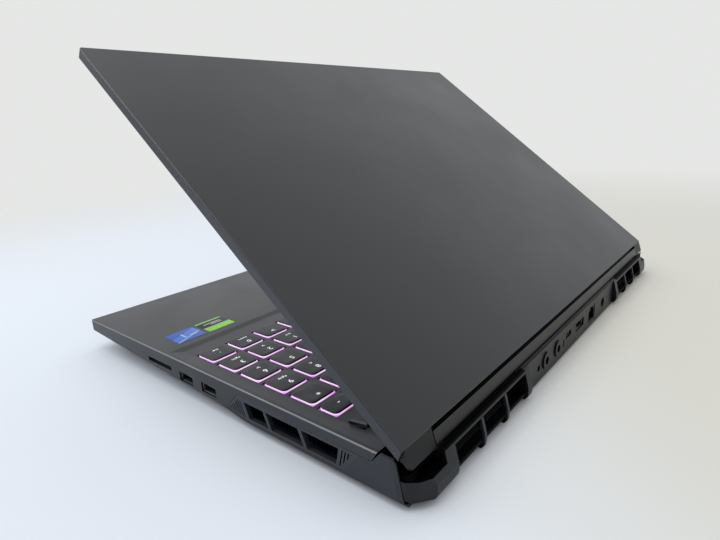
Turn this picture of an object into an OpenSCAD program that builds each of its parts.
// Laptop computer of the 16-inch performance class, as an assembly of its separate pieces.
// Millimetres. X runs across the keyboard, Y from the palm rest to the rear vents, Z up.
// The origin is on the table, under the centre of the base. The lid is drawn closed and then
// opened about the hinge pins by lid_angle.

/* [Base] */
// Width of the base from side to side
base_w = 360; // [350:1:370]
// Depth of the base from the palm rest's edge to the rear vents
base_d = 270; // [266:1:276]
// Height of the palm rest above the table
deck_h = 20.8; // [20.2:0.1:22]
// Height of the rubber feet below the bottom plate
foot_h = 1.8; // [1.2:0.1:2.2]
// Radius of the base's corners, seen from above
corner_r = 2; // [1.5:0.5:6]
// Thickness of the deck plate
deck_t = 2; // [1.8:0.1:2.4]
// Thickness of the top case's side and front walls
wall_t = 1.6; // [1.2:0.1:2]
// Thickness of the bottom cover
bottom_t = 1.4; // [1:0.1:1.8]
// Height of the front edge, below which the underside slopes away
front_lip = 6.9; // [5.5:0.1:8.5]
// Length of the slope under the front edge
nose_run = 22; // [14:1:30]
// Height of the side's lower edge above the bottom plate, just ahead of the side vent
sill_h = 4.3; // [3.4:0.1:5]
// Height of the chamfer along the lower edge beside and behind the side vent
edge_h = 1.8; // [1.4:0.1:2.4]
// Width of the bevel along the deck's outer edges
edge_bevel = 0.5; // [0.3:0.1:0.8]
// Depth of the keyboard tray below the palm rest
tray_depth = 0.9; // [0.5:0.1:1.1]
// Width of the slope round the keyboard tray
tray_slope = 4.5; // [3:0.5:6]
// Seam between the top case and the bottom cover
seam = 0.2; // [0.1:0.05:0.3]
// Radius of a screw post
boss_r = 3; // [2.6:0.1:3.2]
// Radius of a case screw
screw_r = 1; // [0.8:0.1:1.2]

/* [Lid] */
// Angle of the lid above the closed position
lid_angle = 38.7; // [20:1:100]
// Thickness of the lid
lid_t = 5.6; // [5.2:0.1:6.4]
// Gap between the closed lid and the palm rest
lid_gap = 0.6; // [0.5:0.1:1]
// Distance of the closed lid's front edge behind the base's front edge
lid_setback = 0.5; // [0.2:0.1:1.5]
// Distance of the lid's rear edge ahead of the hinge pins
lid_tail = 0.85; // [0.5:0.05:1.5]
// Radius of the lid's front corners
lid_r = 3; // [2:0.5:6]
// Thickness of the lid cover's skin and rim
skin_t = 1; // [0.8:0.1:1.2]
// Thickness of the display bezel
bezel_t = 1; // [0.8:0.1:1.2]
// Width of the chamfer under the lid's front and side edges
lid_under = 0.8; // [0.4:0.1:0.9]
// Width of the bezel beside the screen
screen_side = 7.7; // [7:0.1:14]
// Width of the bezel above the screen
screen_top = 11; // [9:0.5:14]
// Width of the bezel below the screen
screen_chin = 31.4; // [28:0.1:44]
// Thickness of the display panel
panel_t = 2.2; // [1.8:0.1:2.6]

/* [Hinge] */
// Distance of the hinge pins ahead of the rear end
hinge_inset = 10.85; // [10.4:0.05:11.6]
// Height of the hinge pins above the palm rest
hinge_rise = 0.25; // [0:0.05:0.5]
// Radius of a hinge pin
pin_r = 1.5; // [1.2:0.1:1.8]
// Clearance of a hinge pin in its bores
pin_gap = 0.1; // [0.05:0.05:0.2]
// Radius of a hinge knuckle
knuckle_r = 3; // [2.6:0.1:3.2]
// Width of the knuckle on the base
knuckle_w = 5; // [4:0.5:6]
// Width of a hinge cap
cap_w = 19; // [18:0.5:22]
// Distance of a hinge cap's outer side from the base's side
cap_inset = 1.7; // [1.7:0.1:2.4]
// Reach of a hinge cap behind the pins
cap_reach = 6.1; // [5.6:0.1:6.4]
// Clearance round the caps in the hinge channel
swing_gap = 0.5; // [0.3:0.1:0.7]
// Thickness of the hinge channel
channel_t = 0.8; // [0.6:0.1:1]
// Width of the groove between the lid and the hinge strip
strip_groove = 1.8; // [1:0.1:2.2]

/* [Keyboard] */
// Distance from one key to the next
key_pitch = 19; // [18.4:0.1:19.2]
// Gap between two caps at their feet
key_space = 3.2; // [2.8:0.1:4]
// Height of a key's top above the tray
key_rise = 1.1; // [0.9:0.05:1.15]
// Height of a key cap
cap_h = 2; // [1.6:0.1:2.2]
// Slope of a key cap's flanks, inwards from foot to top
cap_taper = 0.6; // [0.3:0.1:1]
// Travel of a key
key_travel = 1.7; // [1.2:0.1:1.8]
// Depth of the function row's cells
fn_pitch = 14.4; // [13.5:0.1:15]
// Distance from the function row's cells to the rear end
keys_rear = 48.2; // [47.5:0.1:50]
// Clearance between a key and its hole in the deck
key_gap = 0.5; // [0.3:0.1:0.8]
// Thickness of the keyboard plate
plate_t = 1; // [0.8:0.1:1.2]
// Width of the power key
power_w = 16.4; // [14:0.1:17]
// Depth of the power key
power_d = 8.4; // [7.5:0.1:9]

/* [Touchpad] */
// Width of the touchpad
pad_w = 125; // [100:1:130]
// Distance from the front edge to the touchpad
pad_margin = 14.8; // [12:0.1:26]
// Clearance round the touchpad
pad_gap = 0.4; // [0.3:0.1:0.6]
// Thickness of the touchpad
pad_t = 1.6; // [1.2:0.1:2]

/* [Side vents] */
// Distance from the side grille's rear tip to the rear end
vent_rear = 29; // [28:0.5:31]
// Length of the side grille
vent_len = 88; // [84:0.5:90]
// Height of the top case's band above the side grille
band_h = 4.9; // [4.4:0.1:5.4]
// Width of the side grille's frame
grille_rim = 1.4; // [1.1:0.1:1.8]
// Thickness of the side grille
grille_t = 2.4; // [2:0.1:3]
// Width of a slanted divider
divider_w = 2; // [1.5:0.1:2.6]
// Lean of the dividers from top to bottom
divider_lean = 4.6; // [3:0.1:5.5]
// Spacing of the thin louvres
louvre_pitch = 1.7; // [1.5:0.05:2]
// Width of the slit between two thin louvres
louvre_slit = 0.8; // [0.6:0.05:0.9]

/* [Rear vents] */
// Distance from the centre to an exhaust block's inner end
block_x = 79; // [76:0.5:82]
// Width of the block's wall beside the mouth
jamb_w = 5; // [4:0.5:6]
// Width of an exhaust mouth
mouth_w = 69; // [64:0.5:72]
// Height of the mouth's upper edge above the bottom plate
mouth_h = 14.4; // [13.6:0.1:14.8]
// Thickness of the rear housing's walls
shell_t = 1.6; // [1.3:0.1:1.8]
// Depth of the socket panel behind the blocks' faces
panel_step = 3; // [2:0.1:3.4]
// Number of fins in a mouth
fin_n = 2; // [2:1:3]
// Thickness of a fin
fin_w = 1.7; // [1.3:0.1:2.2]

/* [Sockets] */
// Width of a USB-A socket's mouth
usb_w = 13.2; // [12.8:0.1:13.8]
// Height of a USB-A socket's mouth
usb_h = 5.7; // [5.4:0.1:6]
// Distance of the rear USB-A socket's centre ahead of the side grille
usb_ahead = 14.2; // [13:0.1:16]
// Distance between the two USB-A sockets
usb_pitch = 21.2; // [20:0.1:24]
// Height of the side sockets' centre line below the palm rest
usb_drop = 9.4; // [9:0.1:9.8]
// Width of the card slot
slot_w = 25.5; // [24:0.1:26.5]
// Height of the card slot
slot_h = 2.6; // [2.2:0.1:3]
// Distance of the card slot's centre ahead of the front USB-A socket's
slot_ahead = 27.6; // [25:0.1:30]
// Height of the card slot's centre line below the palm rest
slot_drop = 7.8; // [7:0.1:8.2]
// Bore of the audio sockets
audio_d = 3.6; // [3.5:0.05:3.8]
// Outer diameter of a coolant coupling's flange
coupling_d = 9.6; // [9:0.1:10.2]
// Outer diameter of a coolant coupling's tube
tube_d = 6.4; // [6.2:0.1:6.8]
// Bore of a coolant coupling
coupling_bore = 4.6; // [4:0.1:5.2]
// Bore of the power inlet
inlet_d = 5.8; // [5.4:0.1:6.2]
// Clearance between a socket and its opening
port_gap = 0.25; // [0.15:0.05:0.35]

/* [Cooling] */
// Radius of a fan's impeller
fan_r = 34; // [31:0.5:36]
// Clearance round an impeller
fan_gap = 1; // [0.8:0.1:1.5]
// Height of a fan housing
fan_h = 9; // [8:0.1:10]
// Number of blades on an impeller
blade_n = 31; // [17:1:41]
// Thickness of a cooling fin
fin_t = 0.5; // [0.4:0.05:0.6]
// Spacing of the cooling fins
fin_pitch = 2.6; // [2.2:0.1:3.2]
// Thickness of a flattened heat pipe
pipe_t = 2.2; // [1.8:0.1:2.4]
// Width of a flattened heat pipe
pipe_w = 8; // [6:0.5:9]

/* [Hidden] */
$fn = 48;
eps = 0.01;

x_side = base_w / 2;
y_front = -base_d / 2;
y_rear = base_d / 2;
z_plate = foot_h;
z_floor = foot_h + bottom_t;
z_under = deck_h - deck_t;
z_lip = deck_h - front_lip;

screw_head = 0.6;

// Hinge pins and everything that swings about them
pin_y = y_rear - hinge_inset;
pin_z = deck_h + hinge_rise;
lid_z0 = deck_h + lid_gap;
lid_z1 = lid_z0 + lid_t;
lid_y0 = y_front + lid_setback;
lid_y1 = pin_y - lid_tail;
cap_tip_z = lid_z0 + 0.9;
swing_r = max(norm([cap_reach, cap_tip_z - pin_z]), norm([lid_tail, lid_z1 - pin_z])) + swing_gap;
cap_x = x_side - cap_w;
cap_side = x_side - cap_inset;
arm_w = 3;
arm_t = 1.2;
bracket_t = 1.6;
hinge_gap = 0.3;
hinge_half = knuckle_w / 2 + hinge_gap + arm_w;
knuckle_x = cap_side - 1.9 - hinge_half;
bore_r = pin_r + pin_gap;
deck_y1 = pin_y - swing_r - 0.2;

// The strip's tongue, which reaches under the lid cover's rear rim, and the screen's place
tongue_t = 2.2;
tongue_d = 3;
screen_y0 = lid_y0 + screen_top;
screen_y1 = lid_y1 - screen_chin;
screen_w = base_w - 2 * screen_side;
panel_z0 = lid_z0 + bezel_t;

// Side vents: the grille's outline in the side view
vent_y1 = y_rear - vent_rear;
vent_y0 = vent_y1 - vent_len;
vent_front = vent_y0 - y_front;
z_sill = foot_h + sill_h;
z_edge = foot_h + edge_h;
z_band = deck_h - band_h;
grille_z0 = z_edge + 1;
grille_z1 = z_band - seam;
grille_out = [[vent_y0 + 0.9, z_sill + 0.9 * (grille_z1 - z_sill) / 9.6], [vent_y0 + 9.6, grille_z1],
  [vent_y1, grille_z1],
  [vent_y1 - 9.8, grille_z0], [vent_y0 + 15.4, grille_z0]];
edge_kink_y = vent_y0 + 15.8;

// Side walls end here; the rear housing closes the corner behind them
wall_end = [[pin_y - 1.5, deck_h - 0.2], [pin_y - 0.5, deck_h - 1.8], [pin_y + 1.9, foot_h + 4],
  [pin_y + 2.9, foot_h]];
wall_lean = atan(2.4 / (deck_h - foot_h - 5.8));
band_end_y = deck_y1 - 1.2;

// Rear housing
z_lip_top = pin_z - 2.8;
z_notch = z_plate + 10.8;
face_y = [y_rear - 1.9, y_rear - 0.4, y_rear, y_rear, y_rear - 2.3];
face_z = [z_plate + 0, z_plate + 1.7, z_plate + 3.8, z_plate + 6.8, z_lip_top];
mouth_x0 = block_x + jamb_w;
mouth_x1 = mouth_x0 + mouth_w;
z_mouth = z_plate + mouth_h;
plate_y1 = y_rear - 7;
panel_y = y_rear - panel_step;

// Keyboard
tray_z = deck_h - tray_depth;
key_z1 = tray_z + key_rise;
key_z0 = key_z1 - cap_h;
keys_y0 = y_rear - keys_rear - 5 * key_pitch - fn_pitch;
keys_x0 = -9 * key_pitch;
tray_y0 = keys_y0 - 9.6;
plate_z1 = key_z0 - key_travel - 0.3;
power_x = x_side - 10.4 - power_w / 2;
power_y = y_rear - keys_rear + 10;

// Widths of the keys of each row, in pitches, front row first; the last three are the number pad
ROW_BOTTOM = [1.25, 1, 1, 1.25, 5.5, 1, 1, 1, 1, 1, 1, 1, 1];
ROW_LOWER = [2.25, 1, 1, 1, 1, 1, 1, 1, 1, 1, 1, 1.75, 1, 1, 1, 1];
ROW_HOME = [1.75, 1, 1, 1, 1, 1, 1, 1, 1, 1, 1, 1, 2.25, 1, 1, 1];
ROW_UPPER = [1.5, 1, 1, 1, 1, 1, 1, 1, 1, 1, 1, 1, 1, 1.5, 1, 1, 1];
ROW_NUMBER = [1, 1, 1, 1, 1, 1, 1, 1, 1, 1, 1, 1, 1, 2, 1, 1, 1];
ROW_FUNCTION = [for (i = [1:18]) 1];
ROWS = [ROW_BOTTOM, ROW_LOWER, ROW_HOME, ROW_UPPER, ROW_NUMBER, ROW_FUNCTION];
SPACE = 4;
ARROW_LEFT = 8;
ARROW_DOWN = 9;
ARROW_RIGHT = 10;
ARROW_UP = 12;
function sum_to(v, n) = n <= 0 ? 0 : v[n - 1] + sum_to(v, n - 1);

// Touchpad, centred under the letter keys
pad_x = keys_x0 + 7.5 * key_pitch;
pad_y1 = tray_y0 - 8;
pad_y0 = y_front + pad_margin;
pad_d = pad_y1 - pad_y0;
pad_z1 = deck_h - 0.25;

// Sockets
usb_y = [vent_y0 - usb_ahead - usb_pitch, vent_y0 - usb_ahead];
usb_z = deck_h - usb_drop;
card_y = usb_y[0] - slot_ahead;
port_step = 1;
card_z = deck_h - slot_drop;
port_top = pin_z - swing_r - channel_t - 0.15;
socket_t = 0.4;
COUPLING_X = [53.2, 35.4];
LOCK_X = 63.3;
LATCH_X = 25;
USB_C_X = 16.8;
HDMI_X = -4;
LAN_X = -28.5;
INLET_X = -53.5;
USB_C = [8.5, 2.8, 8];
HDMI = [14.7, 5.1, 11];
LAN = [12.5, 8.3, 14];
lan_rise = 1.6;
inlet_wall = 0.6;
inlet_r = inlet_d / 2 + inlet_wall;
audio_y = [usb_y[0] - 2, usb_y[0] + 11];
left_usb_y = usb_y[0] + 28;

// Mainboard: its top face carries the side sockets
board_t = 1.2;
board_z = usb_z - usb_h / 2 + port_gap - board_t;
board_y1 = panel_y - 3.5;

speaker_x = 132;
speaker_y = y_front + nose_run + 25;

// Cooling
fan_x = 110;
fan_y = vent_y0 + 44;
fan_z = z_floor;
fan_wall = 1.2;
fan_plate = 0.8;
fan_hub_r = 10;
shaft_r = 1.5;
duct_gap = 0.3;
pipe_z = z_floor + 0.4;
spreader_t = 0.8;
die_z = pipe_z + pipe_t + spreader_t;
rear_stack_x = [mouth_x0 + 1, mouth_x1 - 1];
rear_stack_y = [plate_y1 - 21, plate_y1 - 8];
rear_stack_z1 = pin_z - swing_r - channel_t - 0.4;
side_stack_x = [x_side - 17, x_side - 7];
side_stack_y = [vent_y0 + 15, vent_y1 - 9];
side_stack_z1 = z_band - 2.6;

case_grey = [0.29, 0.30, 0.33];
side_grey = [0.24, 0.27, 0.31];
trim_grey = [0.34, 0.35, 0.38];
key_grey = [0.16, 0.16, 0.17];
black = [0.06, 0.06, 0.07];
steel = [0.62, 0.63, 0.65];
copper = [0.72, 0.45, 0.29];
board_green = [0.08, 0.24, 0.16];

// ---------- shapes used by more than one piece ----------

// Extrudes a Y-Z outline along X, between two stations
module across(x0, x1) {
  translate([x0, 0, 0]) rotate([90, 0, 90]) linear_extrude(x1 - x0) children();
}

module both_sides() {
  children();
  mirror([1, 0, 0]) children();
}

module rounded_rect(w, d, r) {
  square([w - 2 * r, d], center = true);
  square([w, d - 2 * r], center = true);
  for (sx = [-1, 1], sy = [-1, 1]) translate([sx * (w / 2 - r), sy * (d / 2 - r)]) circle(r);
}

module block(x0, x1, y0, y1, z0, z1) {
  translate([x0, y0, z0]) cube([x1 - x0, y1 - y0, z1 - z0]);
}

module flat_block(x0, x1, y0, y1) {
  translate([x0, y0]) square([x1 - x0, y1 - y0]);
}

// Everything below a plane that starts on the front edge and falls towards the rear
module nose_cut(inset) {
  fall = atan((z_lip - z_plate) / nose_run);
  translate([-base_w, y_front, z_lip]) rotate([-fall, 0, 0])
    translate([0, -60, inset - 60]) cube([2 * base_w, base_d, 60]);
}

// Everything outside a 45 degree chamfer along the right side's lower edge, just under the seam
module edge_cut(inset) {
  z0 = z_sill - 0.2;
  line = [[y_front - 20, z0 + (vent_front + 20) * (z_lip - z_sill) / vent_front],
    [vent_y0 - 0.7, z0], [edge_kink_y, z_edge], [y_rear + 10, z_edge]];
  translate([x_side, 0, 0]) rotate([0, -45, 0]) across(-60, 60)
    polygon([[y_rear + 10, -60], [y_front - 20, -60], for (p = line) [p[0], p[1] * cos(45) + inset]]);
}

// The outer form of the base, moved inwards by inset on every face but the top
module envelope(inset, top) {
  difference() {
    translate([0, 0, z_plate + inset]) linear_extrude(top - z_plate - inset)
      rounded_rect(base_w - 2 * inset, base_d - 2 * inset, max(corner_r - inset, 0.5));
    nose_cut(inset);
    both_sides() edge_cut(inset);
  }
}

// ---------- base shells ----------

// Side view of the top case: full height ahead of the side vent, a band above it
module top_case_side() {
  polygon([[y_front - 1, deck_h + 1], [y_front - 1, z_lip + (z_lip - z_sill) / vent_front],
    [vent_y0, z_sill], [vent_y0 + 9.6, z_band], [band_end_y - 5.2, z_band + 0.3],
    [band_end_y - 3.4, z_band + 0.6], [band_end_y, deck_h + 1], [deck_y1, deck_h + 1]]);
}

module bottom_cover_side() {
  polygon([[y_front - 1, -1], [y_front - 1, z_lip + (z_lip - z_sill) / vent_front],
    [vent_y0, z_sill], [vent_y0 + 9.6, z_band - seam], [band_end_y - 5.1, z_band + 0.3 - seam],
    [band_end_y - 3.2, z_band + 0.5 - seam], [band_end_y + 0.3, deck_h - 0.2], wall_end[0],
    wall_end[1], wall_end[2], [wall_end[2][0] + 0.6, z_floor], [plate_y1, z_floor], [plate_y1, -1]]);
}

module key_hole(x, y, w, d) {
  translate([x - w / 2, y - d / 2, z_under - 1]) cube([w, d, deck_t + 2]);
}

module each_key(row) {
  widths = ROWS[row];
  depth = row == 5 ? fn_pitch : key_pitch;
  y = keys_y0 + row * key_pitch + depth / 2;
  for (i = [0:len(widths) - 1]) {
    $key = i;
    $key_w = widths[i] * key_pitch - key_space;
    $key_d = depth - key_space;
    translate([keys_x0 + (sum_to(widths, i) + widths[i] / 2) * key_pitch, y, 0]) children();
  }
}

module key_cap(w, d) {
  t = cap_taper;
  intersection() {
    translate([0, 0, key_z0]) linear_extrude(cap_h) rounded_rect(w, d, 1.8, $fn = 24);
    translate([-w, 0, 0]) across(0, 2 * w)
      polygon([[-d / 2, key_z0], [d / 2, key_z0], [d / 2, key_z0 + 0.6], [d / 2 - t, key_z1],
        [t - d / 2, key_z1], [-d / 2, key_z0 + 0.6]]);
    translate([0, d, 0]) rotate([90, 0, 0]) linear_extrude(2 * d)
      polygon([[-w / 2, key_z0], [w / 2, key_z0], [w / 2, key_z0 + 0.6], [w / 2 - t, key_z1],
        [t - w / 2, key_z1], [-w / 2, key_z0 + 0.6]]);
  }
}

module row_keys(row, left_out = []) {
  color(key_grey) each_key(row)
    if (len([for (k = left_out) if (k == $key) k]) == 0) key_cap($key_w, $key_d);
}

module one_key(row, index) {
  color(key_grey) each_key(row) if ($key == index) key_cap($key_w, $key_d);
}

// The shallow tray round the keys, with sloping front and side edges, open to the rear
module tray_cut() {
  side = x_side - 2;
  difference() {
    block(-side, side, tray_y0 - tray_slope, deck_y1 + 1, tray_z, deck_h + 1);
    translate([0, tray_y0, tray_z]) rotate([-atan(tray_depth / tray_slope), 0, 0])
      translate([-base_w, -40, -10]) cube([2 * base_w, 40, 10]);
    both_sides() translate([side - 1.6 * tray_slope, 0, tray_z])
      rotate([0, -atan(tray_depth / tray_slope / 1.6), 0])
        translate([0, -base_d, -10]) cube([40, 2 * base_d, 10]);
  }
}

module screw_places() {
  for (s = [-1, 1], p = [[x_side - 20, y_front + 32], [x_side - 76, y_front + 32],
    [x_side - 40, tray_y0 - 4], [x_side / 5, tray_y0 - 4],
    [x_side - 26, plate_y1 - 25.5], [fan_x - 54, plate_y1 - 25.5]])
    translate([s * p[0], p[1]]) children();
}

module top_case() {
  color(case_grey) difference() {
    union() {
      difference() {
        intersection() {
          envelope(0, deck_h);
          across(-x_side - 1, x_side + 1) top_case_side();
        }
        envelope(wall_t, z_under);
      }
      screw_posts();
      pad_tray();
      keyboard_stakes();
    }
    tray_cut();
    both_sides() translate([x_side, 0, deck_h - edge_bevel]) rotate([0, -45, 0])
      translate([0, -base_d, -2]) cube([4, 2 * base_d, 6]);
    translate([0, y_front, deck_h - edge_bevel]) rotate([45, 0, 0])
      translate([-base_w, -4, 0]) cube([2 * base_w, 4 + 4, 4]);
    for (row = [0:5]) each_key(row)
      key_hole(0, 0, $key_w + 2 * key_gap, $key_d + 2 * key_gap);
    key_hole(power_x, power_y, power_w + 2 * key_gap, power_d + 2 * key_gap);
    block(pad_x - pad_w / 2 - pad_gap, pad_x + pad_w / 2 + pad_gap, pad_y0 - pad_gap,
      pad_y1 + pad_gap, z_under - 0.5, deck_h + 1);
    for (y = usb_y) side_opening(y, usb_z, usb_w, usb_h);
    side_opening(card_y, card_z, slot_w, slot_h);
    mirror([1, 0, 0]) {
      side_opening(left_usb_y, usb_z, usb_w, usb_h);
      for (y = audio_y) translate([x_side - 5, y, usb_z]) rotate([0, 90, 0])
        cylinder(r = audio_d / 2 + 1 + port_gap, h = 10);
    }
    translate([0, 0, z_floor - 1]) linear_extrude(z_under - z_floor - 1) screw_places()
      circle(screw_r, $fn = 24);
  }
}

// Posts from the deck down to the bottom cover, with a shoulder that the mainboard bears on
module screw_posts() {
  translate([0, 0, z_floor]) linear_extrude(z_under - z_floor + eps) screw_places() circle(boss_r);
  translate([0, 0, board_z + board_t]) linear_extrude(z_under - board_z - board_t + eps)
    screw_places() circle(boss_r + 1.4);
}

// Tray under the touchpad, with windows in its floor
module pad_tray() {
  w = pad_w / 2 + pad_gap;
  y0 = pad_y0 - pad_gap;
  y1 = pad_y1 + pad_gap;
  difference() {
    block(pad_x - w - 1.2, pad_x + w + 1.2, y0 - 1.2, y1 + 1.2, z_under - 1.9, z_under + eps);
    block(pad_x - w, pad_x + w, y0, y1, z_under - 0.9, z_under + 1);
    for (i = [0:2]) translate([pad_x + (i - 1) * 2 * w / 3, (y0 + y1) / 2, z_under - 3]) linear_extrude(4)
      rounded_rect(2 * w / 3 - 8, y1 - y0 - 16, 4);
  }
}

// An opening through the right side wall for a socket that measures w along Y and h along Z
module side_opening(y, z, w, h) {
  block(x_side - wall_t - 4, x_side + 1, y - w / 2, y + w / 2, z - h / 2, z + h / 2);
}

module intake_slots() {
  for (row = [-4:4], col = [-5:5])
    if (norm([row * 7, col * 6.5]) < fan_r - 2)
      translate([fan_x + col * 6.5, fan_y + row * 7, z_plate + bottom_t / 2])
        cube([4.6, 2.4, bottom_t + 2], center = true);
}

module speaker_slots() {
  for (i = [-3:3]) translate([speaker_x + i * 5, speaker_y, z_plate - 1]) linear_extrude(bottom_t + 2)
    rounded_rect(1.8, 12, 0.85, $fn = 24);
}

module bottom_cover() {
  color(side_grey) difference() {
    intersection() {
      envelope(0, deck_h);
      across(-x_side - 1, x_side + 1) bottom_cover_side();
    }
    envelope(bottom_t, deck_h + 1);
    both_sides() translate([x_side, wall_end[1][0] - 2, wall_end[1][1]]) rotate([wall_lean, 0, 0])
      rotate([0, 0, atan(0.7 / 2)]) translate([0, -2, -30]) cube([4, 12, 40]);
    both_sides() {
      across(x_side - 6, x_side + 1) polygon([grille_out[0], grille_out[1],
        grille_out[1] + [0, 2], grille_out[2] + [0, 2], grille_out[2], grille_out[3], grille_out[4]]);
      intake_slots();
      speaker_slots();
    }
    translate([0, 0, z_plate - 1]) linear_extrude(4) screw_places() circle(screw_r + 0.1, $fn = 24);
    translate([0, 0, z_plate - 1]) linear_extrude(1 + screw_head) screw_places()
      circle(screw_r + 1.1, $fn = 24);
  }
}

// ---------- rear housing ----------

// Plan of the space behind the bottom cover, moved inwards by inset
module rear_plan(inset) {
  x = x_side - inset;
  xb = block_x + inset;
  points = [[0, plate_y1 - 6], [x - 1.6, plate_y1 - 6], [x - 1.6, pin_y - 0.5], [x - 0.7, pin_y - 0.5],
    [x - 1.2, pin_y + 2.9], [x - 4.6, y_rear - 3.6 - inset], [x - 11, y_rear - inset], [xb, y_rear - inset],
    [xb, panel_y - inset], [0, panel_y - inset]];
  polygon([for (p = points) [min(p[0], x), p[1]]]);
}

module rear_profile(inset) {
  top = z_lip_top - inset;
  low = z_plate + inset;
  polygon([[plate_y1 - 7, low + bottom_t], [plate_y1 + 0.1, low + bottom_t],
    [plate_y1 + 0.1, low], [face_y[0] - inset, low],
    for (i = [1:3]) [face_y[i] - inset, max(face_z[i], low)], [face_y[4] - inset, top],
    [plate_y1 - 7, top]]);
}

module rear_shape(inset) {
  intersection() {
    both_sides() translate([0, 0, -1]) linear_extrude(deck_h) rear_plan(inset);
    across(-x_side - 1, x_side + 1) rear_profile(inset);
  }
}

module channel_ring() {
  difference() {
    circle(swing_r + channel_t, $fn = 96);
    circle(swing_r, $fn = 96);
    translate([-20, z_under - 0.1 - pin_z]) square([40, 20]);
  }
}

module rear_housing() {
  color(side_grey) difference() {
    union() {
      difference() {
        union() {
          rear_shape(0);
          translate([0, pin_y, pin_z]) across(-x_side + 1.8, x_side - 1.8) channel_ring();
        }
        difference() {
          rear_shape(shell_t);
          translate([0, pin_y, pin_z]) across(-x_side, x_side) circle(swing_r + channel_t, $fn = 96);
        }
      }
      intersection() {
        rear_shape(0);
        both_sides() {
          block(block_x, mouth_x0, plate_y1, y_rear, 0, deck_h);
          block(mouth_x1, mouth_x1 + 3, plate_y1, y_rear, 0, deck_h);
          block(cap_x - 2, x_side, plate_y1 - 5, y_rear, z_notch - 1.6, z_notch);
        }
      }
    }
    translate([0, pin_y, pin_z]) across(-x_side - 1, x_side + 1) circle(swing_r, $fn = 96);
    block(-x_side - 1, x_side + 1, plate_y1 - 20, pin_y, pin_z - 1, pin_z + 30);
    both_sides() {
      block(mouth_x0, mouth_x1, plate_y1 - 9, y_rear + 1, 0, z_mouth);
      block(cap_x - 0.7, x_side + 1, pin_y + cap_reach - 0.6, y_rear + 1, z_notch, deck_h + 9);
      block(x_side - 1.8, x_side + 1, pin_y - 9, y_rear, z_notch, deck_h + 9);
      across(x_side - bottom_t - 0.3, x_side + 1) polygon([[pin_y - 20, deck_h + 9],
        for (p = wall_end) p + [0.2, 0], [pin_y - 20, 0]]);
      intersection() {
        edge_cut(bottom_t + 0.1);
        block(0, x_side, plate_y1 - 9, plate_y1, 0, deck_h);
      }
      translate([x_side - 4.6, y_rear - 3.6, z_edge + 0.6]) rotate([0, 0, -39]) rotate([45, 0, 0])
        translate([-30, -30, -30]) cube([60, 60, 30]);
    }
    both_sides() block(knuckle_x - knuckle_w / 2 - hinge_gap, knuckle_x + knuckle_w / 2 + hinge_gap,
      deck_y1 - 5, pin_y - swing_r + 2.2, z_under - bracket_t - 0.2, deck_h);
    rear_openings();
  }
}

// An opening through the socket panel, size[0] wide, from z0 up to z1
module panel_hole(x, w, z0, z1) {
  block(x - w / 2, x + w / 2, panel_y - shell_t - 1, panel_y + 1, z0, z1);
}

module panel_bore(x, r, gap = port_gap) {
  translate([x, panel_y + 1, port_top - r]) rotate([90, 0, 0]) cylinder(r = r + gap, h = shell_t + 2);
}

module rear_openings() {
  g = port_gap;
  for (x = COUPLING_X) panel_bore(x, tube_d / 2);
  panel_bore(INLET_X, inlet_r);
  panel_hole(LOCK_X, 3.2, port_top - 5.4, port_top - 2.2);
  panel_hole(LATCH_X, 1.6, port_top - 6.6, port_top - 2);
  for (s = [[USB_C_X, USB_C, 0], [HDMI_X, HDMI, 0], [LAN_X, LAN, lan_rise]])
    panel_hole(s[0], s[1][0] + 2 * g, port_top - s[1][1] - g, port_top + s[2] + g);
}

// Fins that run down the mouth and hook under it, held by a rail above and a rail below
module rear_vent() {
  step = mouth_w / (fin_n + 1);
  top = z_mouth - 0.1;
  color(trim_grey) {
    for (i = [1:fin_n]) across(mouth_x0 + i * step - fin_w / 2, mouth_x0 + i * step + fin_w / 2)
      polygon([[plate_y1 + 0.6, top], [y_rear - 1.8, top], [face_y[3], face_z[3]],
        [face_y[2], face_z[2]], [face_y[1], face_z[1] - 0.5], [face_y[0], z_plate - 0.6],
        [plate_y1 + 0.2, z_plate - 0.6], [plate_y1 + 0.2, z_plate + 1], [face_y[0] - 2, z_plate + 1],
        [face_y[2] - 1.6, face_z[2]], [face_y[3] - 2, face_z[3] + 2], [plate_y1 + 0.6, top - 2]]);
    block(mouth_x0, mouth_x1, plate_y1 + 0.6, plate_y1 + 2.2, top - 1.6, top);
    block(mouth_x0, mouth_x1, plate_y1 + 0.2, plate_y1 + 1.8, z_plate, z_plate + 1);
  }
}

// ---------- side grille ----------

// A slit or bar between two stations on the grille's top edge, leaning rearwards as it falls
module leaning(y0, y1) {
  polygon([[y0, grille_z1], [y1, grille_z1], [y1 + divider_lean, grille_z0],
    [y0 + divider_lean, grille_z0]]);
}

module grille_field() {
  r = grille_rim;
  top = grille_z1 - r;
  low = grille_z0 + r;
  polygon([[vent_y0 + 2.6, z_sill + 1.6], [vent_y0 + 10.6, top], [vent_y1 - 3.4, top],
    [vent_y1 - 10.6, low], [vent_y0 + 16.2, low]]);
}

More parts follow.
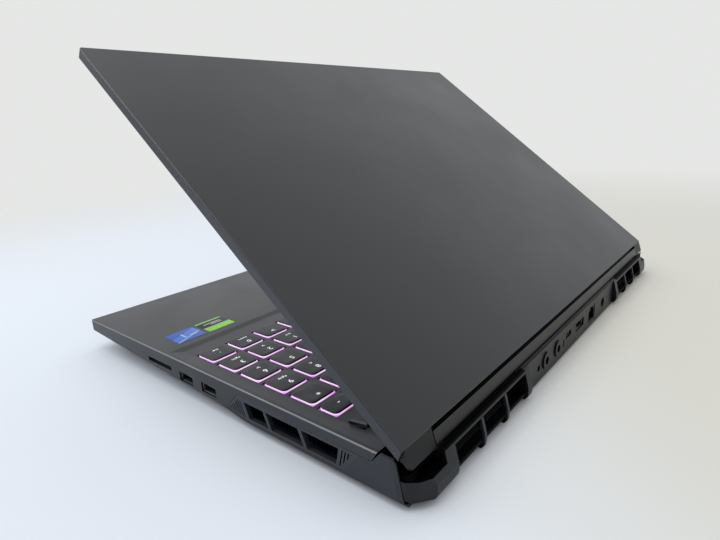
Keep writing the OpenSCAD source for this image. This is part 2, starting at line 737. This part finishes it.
module side_grille() {
  open0 = vent_y0 + 13.6;
  open1 = vent_y1 - 10.4;
  cell = (open1 - open0) / 3;
  ends = [open0, open0 + cell * 0.76, open0 + cell * 1.86, open1];
  d = divider_w / 2;
  color(trim_grey) across(x_side - grille_t - 0.2, x_side - 0.2) difference() {
    polygon(grille_out);
    intersection() {
      grille_field();
      union() {
        for (i = [0:1]) leaning(ends[i] + d, ends[i + 1] - d);
        polygon([[ends[2] + d, grille_z1], [ends[3], grille_z1], [ends[3] - 2.8, grille_z0],
          [ends[2] + d + divider_lean, grille_z0]]);
        for (i = [0:9]) let (y = open0 - d - 0.6 - i * louvre_pitch) leaning(y - louvre_slit, y);
        for (i = [0:4]) let (y = open1 + 1.6 + i * louvre_pitch) polygon([[y, grille_z1],
          [y + louvre_slit, grille_z1], [y + louvre_slit - 2.8, grille_z0], [y - 2.8, grille_z0]]);
      }
    }
  }
}

// ---------- keyboard, power key and touchpad ----------

module keyboard_plate() {
  color(black) block(keys_x0 - 1, -keys_x0 + 1, keys_y0 - 1, keys_y0 + 5 * key_pitch + fn_pitch + 1,
    plate_z1 - plate_t, plate_z1);
}

// Stakes between the rows, which hold the keyboard plate under the deck
module keyboard_stakes() {
  for (row = [1:5], x = [-6.5:2.6:6.5]) translate([x * key_pitch, keys_y0 + row * key_pitch, plate_z1])
    cylinder(r = 0.9, h = z_under - plate_z1 + 0.1, $fn = 24);
}

// A key that narrows to the rear, with a bevel round its top
module power_key() {
  w = power_w / 2;
  d = power_d / 2;
  taper = 1.6;
  bevel = 0.7;
  z1 = key_z1 + 0.4;
  color(black) translate([power_x, power_y, 0]) difference() {
    intersection() {
      translate([0, 0, key_z0]) linear_extrude(z1 - key_z0)
        polygon([[-w, -d], [w, -d], [w - taper, d], [taper - w, d]]);
      translate([-w, 0, 0]) across(0, 2 * w) polygon([[-d, key_z0], [d, key_z0], [d, z1 - bevel],
        [d - bevel, z1], [bevel - d, z1], [-d, z1 - bevel]]);
    }
    both_sides() translate([w, -d, z1 - bevel]) rotate([0, 0, atan(taper / power_d)])
      rotate([0, -45, 0]) translate([0, -power_d, -3]) cube([4, 3 * power_d, 6]);
  }
}

module touchpad() {
  color(case_grey) difference() {
    translate([pad_x, (pad_y0 + pad_y1) / 2, pad_z1 - pad_t]) linear_extrude(pad_t)
      rounded_rect(pad_w, pad_d, 2, $fn = 32);
    translate([pad_x - pad_w, pad_y0, pad_z1 - 0.3]) rotate([45, 0, 0])
      translate([0, -2, 0]) cube([2 * pad_w, 2, 2]);
  }
}

// ---------- lid, drawn closed and opened by lid_angle ----------

module opened() {
  translate([0, pin_y, pin_z]) rotate([-lid_angle, 0, 0]) translate([0, -pin_y, -pin_z]) children();
}

module lid_plan(inset) {
  w = base_w / 2 - inset;
  y0 = lid_y0 + inset;
  y1 = lid_y1 - inset;
  r = lid_r;
  union() {
    translate([-w + r, y0]) square([2 * w - 2 * r, y1 - y0]);
    translate([-w, y0 + r]) square([2 * w, y1 - y0 - r]);
    for (s = [-1, 1]) translate([s * (w - r), y0 + r]) circle(r);
  }
}

module lid_cover() {
  low = lid_z0 + lid_under;
  color(case_grey) opened() difference() {
    union() {
      translate([0, 0, lid_z0]) linear_extrude(lid_t) lid_plan(0);
      both_sides() across(cap_side, x_side)
        polygon([[lid_y1 - skin_t, low], [lid_y1 + 1.3, low], [lid_y1, lid_z1 - 0.6],
          [lid_y1 - skin_t, lid_z1 - 0.6]]);
    }
    translate([0, 0, lid_z0 - 1]) linear_extrude(lid_t - skin_t + 1) lid_plan(skin_t);
    block(-cap_x + 0.4, cap_x - 0.4, lid_y1 - 2 * skin_t, lid_y1 + 1, lid_z0 - 1, lid_z0 + tongue_t);
    both_sides() {
      block(cap_x - 0.4, x_side - 2.4, lid_y1 - 2 * skin_t, lid_y1 + 1, lid_z0 - 1, lid_z1 - skin_t);
      translate([x_side, 0, lid_z1 - 0.35]) rotate([0, -45, 0])
        translate([0, -base_d, -2]) cube([4, 2 * base_d, 6]);
      translate([x_side, 0, low]) rotate([0, 45, 0])
        translate([0, -base_d, -4]) cube([4, 2 * base_d, 6]);
    }
    translate([0, lid_y0, lid_z1 - 0.35]) rotate([45, 0, 0])
      translate([-base_w, -4, 0]) cube([2 * base_w, 8, 4]);
    translate([0, lid_y0, low]) rotate([-45, 0, 0])
      translate([-base_w, -4, -4]) cube([2 * base_w, 8, 4]);
  }
}

module display_bezel() {
  color(black) opened() difference() {
    translate([0, 0, lid_z0]) linear_extrude(bezel_t) difference() {
      lid_plan(skin_t);
      translate([-screen_w / 2, screen_y0]) square([screen_w, screen_y1 - screen_y0]);
    }
    translate([0, (lid_y0 + screen_y0) / 2, lid_z0 - 1]) cylinder(r = 1.6, h = 4, $fn = 32);
    block(-cap_x + 0.4, cap_x - 0.4, lid_y1 - tongue_d, lid_y1 + 1, lid_z0 - 1, lid_z0 + 2.6);
    both_sides() block(cap_x - 0.4, x_side - 2, pin_y - knuckle_r - 1.4, lid_y1 + 1, lid_z0 - 1,
      lid_z0 + 3);
    translate([0, 0, lid_z0 - eps]) linear_extrude(0.5) difference() {
      lid_plan(skin_t + 1.2);
      lid_plan(skin_t + 2.8);
      flat_block(-base_w, base_w, lid_y1 - 20, lid_y1 + 1);
    }
  }
}

module lid_seal() {
  color(black) opened() translate([0, 0, lid_z0 - 0.25]) linear_extrude(0.25 + 0.5 - eps) difference() {
    lid_plan(skin_t + 1.2 + eps);
    lid_plan(skin_t + 2.8 - eps);
    flat_block(-base_w, base_w, lid_y1 - 20, lid_y1 + 1);
  }
}

module display_panel() {
  m = 3;
  color([0.03, 0.03, 0.04]) opened()
    block(-screen_w / 2 - m, screen_w / 2 + m, screen_y0 - m, screen_y1 + m, panel_z0,
      panel_z0 + panel_t);
}

module webcam_module() {
  y = (lid_y0 + screen_y0) / 2;
  color(board_green) opened() block(-24, 24, y - 2.4, y + 2.2, panel_z0, panel_z0 + 1);
  color(black) opened() translate([0, y, lid_z0 + 0.2])
    cylinder(r = 1.5, h = bezel_t - 0.2 + eps, $fn = 32);
}

// A cap's outer face falls from the lid's top edge to its tip behind the pins
module hinge_cap() {
  tip = pin_y + cap_reach;
  color(case_grey) opened() difference() {
    across(cap_x, cap_side) polygon([[lid_y1, lid_z0], [tip, lid_z0], [tip, cap_tip_z],
      [lid_y1, lid_z1]]);
    translate([cap_side, tip - 1.5, 0]) rotate([0, 0, 40]) cube([20, 20, 60]);
    knuckle_space();
  }
}

// Room round the knuckles of the base and the lid
module knuckle_space() {
  translate([0, pin_y, pin_z]) across(knuckle_x - hinge_half - 0.5, knuckle_x + hinge_half + 0.5)
    circle(knuckle_r + 0.5);
}

module hinge_strip() {
  front = lid_y1 + strip_groove;
  tip = pin_y + cap_reach;
  slope = (lid_z1 - cap_tip_z) / (tip - lid_y1);
  color(trim_grey) opened() across(-cap_x + 0.6, cap_x - 0.6)
    polygon([[lid_y1 - tongue_d, lid_z0], [tip, lid_z0], [tip, cap_tip_z],
      [front, lid_z1 - slope * strip_groove], [front, lid_z0 + tongue_t],
      [lid_y1 - tongue_d, lid_z0 + tongue_t]]);
}

module knuckle(x, w) {
  translate([x, pin_y, pin_z]) rotate([0, 90, 0]) cylinder(r = knuckle_r, h = w);
}

// Leaf in the lid with two knuckles, one on each side of the base's knuckle
module hinge_arm() {
  x0 = knuckle_x - knuckle_w / 2 - hinge_gap;
  x1 = knuckle_x + knuckle_w / 2 + hinge_gap;
  z1 = lid_z1 - skin_t;
  color(steel) opened() difference() {
    union() {
      for (x = [x0 - arm_w, x1]) {
        knuckle(x, arm_w);
        block(x, x + arm_w, pin_y - 4.2, pin_y - lid_tail - 0.2, pin_z, z1);
      }
      block(x0 - arm_w, x1 + arm_w, pin_y - 60, pin_y - 3, z1 - arm_t, z1);
    }
    translate([x0 - 5, pin_y, pin_z]) rotate([0, 90, 0]) cylinder(r = bore_r, h = x1 - x0 + 10);
    for (y = [18, 36, 52]) translate([knuckle_x, pin_y - y, 0]) cylinder(r = 1.2, h = 99, $fn = 24);
  }
}

// Plate under the deck with a neck, the base's knuckle and the pin
module hinge_bracket() {
  x0 = knuckle_x - knuckle_w / 2;
  z0 = z_under - bracket_t;
  rear = deck_y1 + 1.6;
  color(steel) {
    difference() {
      union() {
        knuckle(x0, knuckle_w);
        block(x0 - 8, x0 + knuckle_w + 3, deck_y1 - 13, deck_y1 - 2, z0, z_under);
        across(x0, x0 + knuckle_w) polygon([[deck_y1 - 3, z0], [rear, z0], [rear, pin_z - 3],
          [pin_y - 3.6, pin_z - 3], [pin_y - 2.2, pin_z - 1.8], [pin_y - 2.2, pin_z - 0.6],
          [pin_y - 4.2, pin_z - 1.5], [deck_y1 + 0.2, pin_z - 1.5], [deck_y1 + 0.2, z_under],
          [deck_y1 - 3, z_under]]);
      }
      for (x = [-4, 6]) translate([x0 + x, deck_y1 - 8, 0]) cylinder(r = 1.2, h = z_under + 1, $fn = 24);
    }
    translate([knuckle_x - hinge_half, pin_y, pin_z]) rotate([0, 90, 0])
      cylinder(r = pin_r, h = 2 * hinge_half);
  }
}

// ---------- cooling ----------

// Plan of a fan with two ducts, one to the side fins and one to the rear fins
module fan_plan(wall, reach) {
  in = fan_wall - wall;
  r = fan_r + fan_gap + wall;
  circle(r, $fn = 72);
  flat_block(0, side_stack_x[0] - duct_gap - fan_x + reach, side_stack_y[0] - fan_y + in,
    side_stack_y[1] - fan_y - in);
  flat_block(rear_stack_x[0] - fan_x + in, r, 0, rear_stack_y[0] - duct_gap - fan_y + reach);
}

// Flat housing with a round inlet above, and below an inlet round the motor's four spokes
module fan_housing() {
  color(black) translate([fan_x, fan_y, fan_z]) {
    difference() {
      linear_extrude(fan_h) fan_plan(fan_wall, 0);
      translate([0, 0, fan_plate]) linear_extrude(fan_h - 2 * fan_plate) fan_plan(0, 5);
      translate([0, 0, fan_h - 2]) cylinder(r = fan_r - 7, h = 3, $fn = 72);
      translate([0, 0, -1]) linear_extrude(fan_plate + 2) difference() {
        circle(fan_r - 7, $fn = 72);
        circle(fan_hub_r);
        for (a = [45, 135]) rotate(a) square([3 * fan_r, 3], center = true);
      }
    }
    translate([0, 0, fan_plate]) cylinder(r = shaft_r, h = fan_h - 2 * fan_plate - 2, $fn = 24);
  }
}

// Hub with swept blades, on the housing's shaft
module fan_impeller() {
  h = fan_h - 2 * fan_plate - 1.2;
  sweep_a = 24;
  blade_l = sqrt(fan_r * fan_r - pow(fan_hub_r * sin(sweep_a), 2)) - fan_hub_r * cos(sweep_a);
  color([0.11, 0.11, 0.12]) translate([fan_x, fan_y, fan_z + fan_plate + 0.6]) difference() {
    union() {
      cylinder(r = fan_hub_r + 1, h = h);
      cylinder(r = 2 * fan_hub_r, h = 0.8);
      for (i = [0:blade_n - 1]) rotate(i * 360 / blade_n) translate([fan_hub_r, 0, 0])
        rotate(sweep_a) block(0, blade_l, -0.3, 0.3, 0, h);
    }
    translate([0, 0, -1]) cylinder(r = shaft_r + 0.2, h = h - 0.2, $fn = 24);
  }
}

// Parallel fins under one plate, with a flat rail that is soldered to the heat pipe below it
module rear_fins() {
  x = rear_stack_x;
  y = rear_stack_y;
  color(copper) {
    for (i = [x[0]:fin_pitch:x[1] - fin_t]) difference() {
      block(i, i + fin_t, y[0], y[1], pipe_z, rear_stack_z1 - fin_t);
      block(i - 1, i + 1, y[0] - 1, y[0] + pipe_w, pipe_z - 1, pipe_z + pipe_t + fin_t);
    }
    block(x[0], x[1], y[0], y[1], rear_stack_z1 - fin_t, rear_stack_z1);
    block(x[0], x[1], y[0], y[0] + pipe_w, pipe_z + pipe_t, pipe_z + pipe_t + fin_t);
  }
}

module side_fins() {
  x = side_stack_x;
  y = side_stack_y;
  color(copper) {
    for (i = [y[0]:fin_pitch:y[1] - fin_t]) difference() {
      block(x[0], x[1], i, i + fin_t, pipe_z, side_stack_z1 - fin_t);
      block(x[0] - 1, x[0] + pipe_w / 2, i - 1, i + 1, pipe_z - 1, pipe_z + pipe_t + fin_t);
    }
    block(x[0], x[1], y[0], y[1], side_stack_z1 - fin_t, side_stack_z1);
    block(x[0], x[0] + pipe_w / 2, y[0], y[1], pipe_z + pipe_t, pipe_z + pipe_t + fin_t);
  }
}

// A flat pipe that runs between points, with round bends
module flat_pipe(points, w) {
  translate([0, 0, pipe_z]) linear_extrude(pipe_t) {
    for (i = [0:len(points) - 2]) {
      v = points[i + 1] - points[i];
      translate(points[i]) rotate([0, 0, atan2(v[1], v[0])]) translate([0, -w / 2])
        square([norm(v), w]);
    }
    for (p = points) translate(p) circle(w / 2 + 0.03);
  }
}

module heat_pipes() {
  rear_y = rear_stack_y[0] + pipe_w / 2;
  side_x = side_stack_x[0] + pipe_w / 4;
  low_y = fan_y - fan_r - fan_gap - 6.5;
  color(copper) {
    both_sides() {
      flat_pipe([[20, fan_y + 6], [38, rear_y - 16], [52, rear_y], [rear_stack_x[1] - 6, rear_y]],
        pipe_w - 0.1);
      flat_pipe([[20, fan_y - 20], [50, low_y], [side_x - 8, low_y], [side_x, low_y + 8],
        [side_x, side_stack_y[1] - 3]], pipe_w / 2 - 0.1);
      translate([24, fan_y - 7, pipe_z + pipe_t]) linear_extrude(spreader_t) rounded_rect(38, 44, 3);
    }
  }
}

// ---------- electronics ----------

// Room in the board for the rear sockets that are let into it
module board_notches() {
  for (s = [[HDMI_X, HDMI, port_step], [LAN_X, LAN, 0.3]])
    block(s[0] - s[1][0] / 2, s[0] + s[1][0] / 2, panel_y - s[2] - s[1][2], panel_y,
      port_top - s[1][1] - eps, port_top);
  for (p = [[INLET_X, inlet_r, 11], [COUPLING_X[0], tube_d / 2 + 0.3, 11.5],
    [COUPLING_X[1], tube_d / 2 + 0.3, 11.5]])
    block(p[0] - p[1], p[0] + p[1], panel_y - 0.3 - p[2], panel_y, 0, deck_h);
}

module mainboard() {
  core_x = fan_x - fan_r - 8;
  color(board_green) difference() {
    translate([0, 0, board_z]) linear_extrude(board_t) difference() {
      union() {
        flat_block(-core_x, core_x, usb_y[0] - 4, board_y1);
        flat_block(-x_side + 6, x_side - 6, card_y - 12, usb_y[1] + 14);
      }
      screw_places() circle(boss_r + 0.3);
    }
    board_notches();
  }
  color([0.1, 0.1, 0.11]) {
    both_sides() block(15, 33, fan_y - 16, fan_y + 2, die_z, board_z);
    for (x = [-30:12:30]) block(x - 4, x + 4, fan_y + 22, fan_y + 30, board_z - 1.4, board_z);
    both_sides() for (x = [90, 112]) block(x - 8, x + 8, usb_y[0] - 2, usb_y[0] + 10, board_z - 1.4,
      board_z);
  }
}

// Two modules side by side, each in its socket on the board's underside
module memory_modules() {
  y = usb_y[0];
  for (x = [-37, 37]) {
    color([0.1, 0.3, 0.2]) block(x - 34, x + 34, y + 2, y + 32, board_z - 2.6, board_z - 1.4);
    color(black) {
      block(x - 35, x + 35, y - 3, y + 2, board_z - 3.8, board_z);
      for (i = [-1.5:1.5]) block(x + i * 16 - 6, x + i * 16 + 6, y + 10, y + 22, board_z - 3.6,
        board_z - 2.6);
    }
  }
}

// Two storage modules on the board's underside, each on its connector
module storage_modules() {
  for (x = [-125, 45]) {
    color([0.12, 0.12, 0.14]) block(x, x + 80, card_y - 1, card_y + 21, board_z - 2.6, board_z - 1.2);
    color(black) block(x, x + 5, card_y - 1, card_y + 21, board_z - 1.2, board_z);
  }
}

module wireless_card() {
  color([0.1, 0.25, 0.2]) block(-28, 2, card_y - 1, card_y + 21, board_z - 2, board_z - 1.2);
  color(black) block(-28, -23, card_y - 1, card_y + 21, board_z - 1.2, board_z);
}

module battery_pack() {
  y0 = y_front + nose_run + 4;
  y1 = card_y - 14;
  w = 196 / 3;
  color([0.1, 0.1, 0.11]) translate([0, (y0 + y1) / 2, z_floor]) {
    for (i = [-1:1]) translate([i * w, 0, 0]) linear_extrude(6.2) rounded_rect(w - 1, y1 - y0, 3);
    linear_extrude(1) square([3 * w - 8, y1 - y0 - 12], center = true);
  }
}

// Closed box with its cone facing down
module speaker() {
  color(black) translate([speaker_x, speaker_y, z_floor]) {
    difference() {
      linear_extrude(7) rounded_rect(42, 26, 4);
      translate([0, 0, -1]) cylinder(r = 11, h = 3.4);
    }
    translate([0, 0, 1]) cylinder(r = 8, h = 1.4);
  }
}

// ---------- sockets ----------

// Metal shell under the plane z = 0, with its mouth towards +Y at y = 0
module shell_socket(w, h, depth, tongue_h) {
  difference() {
    block(-w / 2, w / 2, -depth, 0, -h, 0);
    block(-w / 2 + socket_t, w / 2 - socket_t, -depth + 1, 1, -h + socket_t, -socket_t);
  }
  block(-w / 2 + 1.2, w / 2 - 1.2, -depth + 1, -1.6, -socket_t - tongue_h - 0.6, -socket_t - 0.6);
}

module side_socket(y) {
  g = port_gap;
  translate([x_side - port_step, y, usb_z + usb_h / 2 - g]) rotate([0, 0, -90])
    shell_socket(usb_w - 2 * g, usb_h - 2 * g, 14, 1.7);
}

module usb_a_sockets_right() {
  color(steel) for (y = usb_y) side_socket(y);
}

module usb_a_socket_left() {
  color(steel) mirror([1, 0, 0]) side_socket(left_usb_y);
}

// Housing on the board with the card's slot in its upper half
module card_reader() {
  w = slot_w - 2 * port_gap;
  h = slot_h - 2 * port_gap;
  x = x_side - wall_t - 0.4;
  color(steel) difference() {
    union() {
      block(x_side - 27, x_side - port_step, card_y - w / 2, card_y + w / 2, card_z - h / 2, card_z + h / 2);
      block(x_side - 27, x - 4, card_y - w / 2, card_y + w / 2, board_z + board_t, card_z);
    }
    block(x_side - 25, x_side + 1, card_y - w / 2 + 0.4, card_y + w / 2 - 0.4, card_z - h / 2 + 0.3,
      card_z + h / 2 - 0.3);
  }
}

// Round nose in the wall's hole, with a square body behind it on the board
module audio_sockets() {
  body_h = 2 * (usb_z - board_z - board_t);
  color(black) for (y = audio_y) translate([-x_side + 0.4, y, usb_z]) rotate([0, 90, 0]) difference() {
    union() {
      cylinder(r = audio_d / 2 + 1, h = 5);
      translate([-body_h / 2, -3, wall_t + 0.6]) cube([body_h, 6, 11]);
    }
    translate([0, 0, -1]) cylinder(d = audio_d, h = 12);
  }
}

module usb_c_socket() {
  w = USB_C[0];
  h = USB_C[1];
  color(steel) translate([USB_C_X, panel_y - port_step, port_top - h / 2]) rotate([90, 0, 0]) {
    difference() {
      linear_extrude(USB_C[2]) rounded_rect(w, h, h / 2 - 0.02);
      translate([0, 0, -1]) linear_extrude(USB_C[2]) rounded_rect(w - 0.8, h - 0.8, h / 2 - 0.42);
    }
    translate([0, 0, 1]) linear_extrude(USB_C[2] - 2) square([w - 2.6, 0.7], center = true);
  }
  color(black) block(USB_C_X - 3, USB_C_X + 3, panel_y - port_step - USB_C[2], board_y1,
    board_z + board_t, port_top - h);
}

module hdmi_socket() {
  color(steel) translate([HDMI_X, panel_y - port_step, port_top]) shell_socket(HDMI[0], HDMI[1], HDMI[2], 1.2);
}

// Box with the plug's room under the hinge channel, and a shallow notch above it for the latch
module network_socket() {
  w = LAN[0] / 2;
  h = LAN[1];
  color(black) translate([LAN_X, panel_y - 0.3, port_top]) difference() {
    union() {
      block(-w, w, -LAN[2], 0, -h, 0);
      block(-w, w, -2.6, 0, -h, lan_rise);
    }
    block(-w + 0.6, w - 0.6, -LAN[2] + 2, 1, -h + 0.6, -0.6);
    block(-3, 3, -2, 1, -1, lan_rise - 0.4);
  }
}

module power_inlet() {
  color(black) translate([INLET_X, panel_y - 0.3, port_top - inlet_r]) rotate([90, 0, 0]) {
    difference() {
      union() {
        cylinder(r = inlet_r, h = 11);
        block(-inlet_r, inlet_r, -inlet_r, inlet_r, shell_t, 11);
      }
      translate([0, 0, -1]) cylinder(d = inlet_d, h = 10);
    }
    translate([0, 0, 0.6]) cylinder(r = 0.7, h = 8.4 + eps, $fn = 24);
  }
}

// Tubes through the socket panel, each with a flange on the panel's outer face
module coolant_couplings() {
  color([0.13, 0.13, 0.14]) for (x = COUPLING_X) translate([x, panel_y, port_top - tube_d / 2])
    rotate([90, 0, 0]) difference() {
      union() {
        cylinder(d = tube_d, h = 11);
        translate([0, 0, -0.8]) cylinder(d = coupling_d, h = 0.8);
      }
      translate([0, 0, -1]) cylinder(d = coupling_bore, h = 14);
    }
}

// ---------- feet and screws ----------

module rubber_feet() {
  color(black) linear_extrude(foot_h) {
    for (x = [-speaker_x, speaker_x]) translate([x, y_front + nose_run + 12]) rounded_rect(44, 7, 3.4);
    translate([0, plate_y1 - 10]) rounded_rect(250, 8, 3.9);
  }
}

module case_screws() {
  color(steel) screw_places() {
    translate([0, 0, z_plate + 0.1]) cylinder(r = screw_r + 0.9, h = screw_head - 0.1, $fn = 24);
    translate([0, 0, z_plate + screw_head]) cylinder(r = screw_r - 0.02, h = 7, $fn = 24);
  }
}

top_case();
bottom_cover();
rear_housing();
mirror([1, 0, 0]) rear_vent();  // rear_vent_left
rear_vent();  // rear_vent_right
mirror([1, 0, 0]) side_grille();  // side_grille_left
side_grille();  // side_grille_right
keyboard_plate();
row_keys(5);  // function_keys
row_keys(4);  // number_keys
row_keys(3);  // upper_letter_keys
row_keys(2);  // home_letter_keys
row_keys(1, [ARROW_UP]);  // lower_letter_keys
row_keys(0, [SPACE, ARROW_LEFT, ARROW_DOWN, ARROW_RIGHT]);  // bottom_keys
one_key(0, SPACE);  // space_bar
one_key(1, ARROW_UP);  // arrow_up_key
one_key(0, ARROW_LEFT);  // arrow_left_key
one_key(0, ARROW_DOWN);  // arrow_down_key
one_key(0, ARROW_RIGHT);  // arrow_right_key
power_key();
touchpad();
lid_cover();
display_bezel();
display_panel();
webcam_module();
lid_seal();
hinge_strip();
mirror([1, 0, 0]) hinge_cap();  // hinge_cap_left
hinge_cap();  // hinge_cap_right
mirror([1, 0, 0]) hinge_arm();  // hinge_arm_left
hinge_arm();  // hinge_arm_right
mirror([1, 0, 0]) hinge_bracket();  // hinge_bracket_left
hinge_bracket();  // hinge_bracket_right
mainboard();
memory_modules();
storage_modules();
wireless_card();
heat_pipes();
mirror([1, 0, 0]) rear_fins();  // rear_fins_left
rear_fins();  // rear_fins_right
mirror([1, 0, 0]) side_fins();  // side_fins_left
side_fins();  // side_fins_right
mirror([1, 0, 0]) fan_housing();  // fan_housing_left
fan_housing();  // fan_housing_right
mirror([1, 0, 0]) fan_impeller();  // fan_impeller_left
fan_impeller();  // fan_impeller_right
battery_pack();
mirror([1, 0, 0]) speaker();  // speaker_left
speaker();  // speaker_right
usb_a_sockets_right();
usb_a_socket_left();
card_reader();
audio_sockets();
usb_c_socket();
hdmi_socket();
network_socket();
power_inlet();
coolant_couplings();
rubber_feet();
case_screws();
